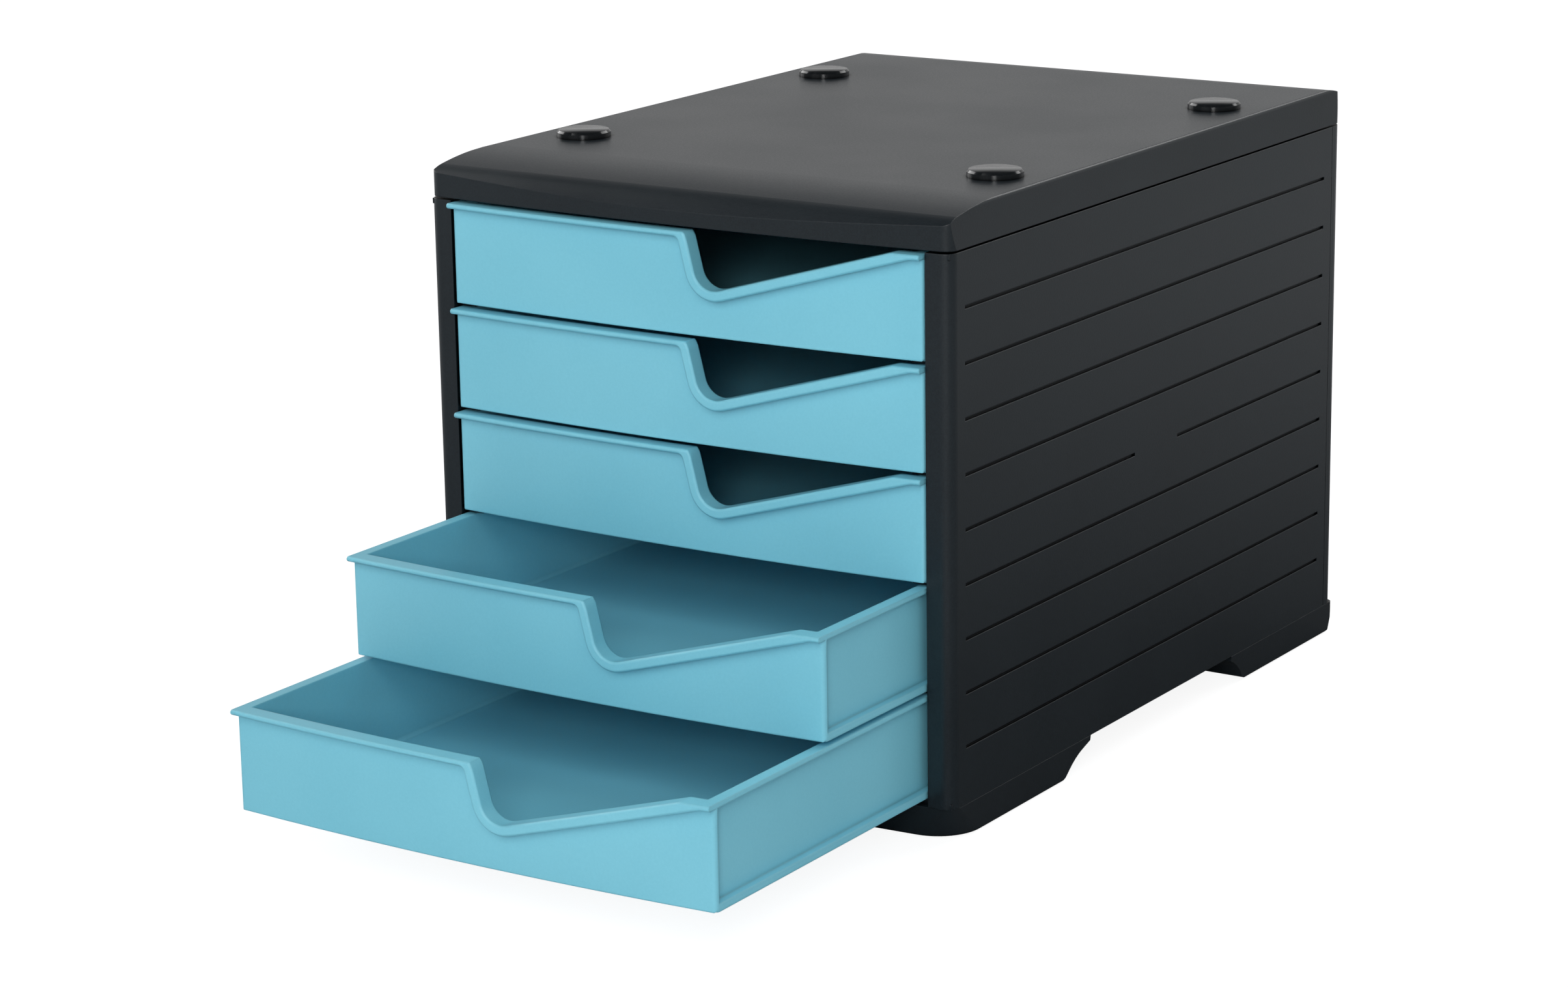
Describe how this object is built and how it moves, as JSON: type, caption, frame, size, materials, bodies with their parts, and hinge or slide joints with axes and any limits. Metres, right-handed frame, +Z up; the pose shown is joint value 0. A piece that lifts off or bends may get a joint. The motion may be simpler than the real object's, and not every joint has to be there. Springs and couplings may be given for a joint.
{
  "type": "file box with drawers",
  "caption": "Desktop file box: dark moulded housing on two foot bars, with stacked open-topped document drawers that slide out at the front by a stepped finger cut-out.",
  "frame": {"origin": "on the standing surface, under the middle of the bounding box at rest, with drawer_4 and drawer_5 standing open; that is 100.35 mm behind the front plane of the side panels", "axes": "+X to the right seen from the front, +Y to the back, +Z up; the drawers open along -Y"},
  "size_m": [0.266, 0.5327, 0.2736],
  "materials": {
    "housing_plastic": "fine-grained moulded polystyrene, blue-black",
    "drawer_plastic": "satin moulded polystyrene, light turquoise",
    "button_plastic": "glossy moulded buttons",
    "zinc_screw": "zinc-plated steel",
    "pad_rubber": "soft rubber"
  },
  "bodies": {
    "housing": {"lid": "housing_plastic", "lid_button_front_left": "button_plastic", "lid_button_front_right": "button_plastic", "lid_button_back_left": "button_plastic", "lid_button_back_right": "button_plastic", "lid_screws": "zinc_screw", "side_panel_left": "housing_plastic", "side_panel_right": "housing_plastic", "rear_cover": "housing_plastic", "base": "housing_plastic", "base_screws": "zinc_screw", "foot_pad_front_left": "pad_rubber", "foot_pad_front_right": "pad_rubber", "foot_pad_back_left": "pad_rubber", "foot_pad_back_right": "pad_rubber"},
    "drawer_1": {"drawer_1": "drawer_plastic"},
    "drawer_2": {"drawer_2": "drawer_plastic"},
    "drawer_3": {"drawer_3": "drawer_plastic"},
    "drawer_4": {"drawer_4": "drawer_plastic"},
    "drawer_5": {"drawer_5": "drawer_plastic"}
  },
  "joints": [
    {"name": "drawer_1_slide", "type": "slide", "parent": "housing", "child": "drawer_1", "axis": [0, -1, 0], "range_m": [0, 0.2615]},
    {"name": "drawer_2_slide", "type": "slide", "parent": "housing", "child": "drawer_2", "axis": [0, -1, 0], "range_m": [0, 0.2615]},
    {"name": "drawer_3_slide", "type": "slide", "parent": "housing", "child": "drawer_3", "axis": [0, -1, 0], "range_m": [0, 0.2615]},
    {"name": "drawer_4_slide", "type": "slide", "parent": "housing", "child": "drawer_4", "axis": [0, -1, 0], "range_m": [-0.078, 0.1835]},
    {"name": "drawer_5_slide", "type": "slide", "parent": "housing", "child": "drawer_5", "axis": [0, -1, 0], "range_m": [-0.1575, 0.104]}
  ]
}
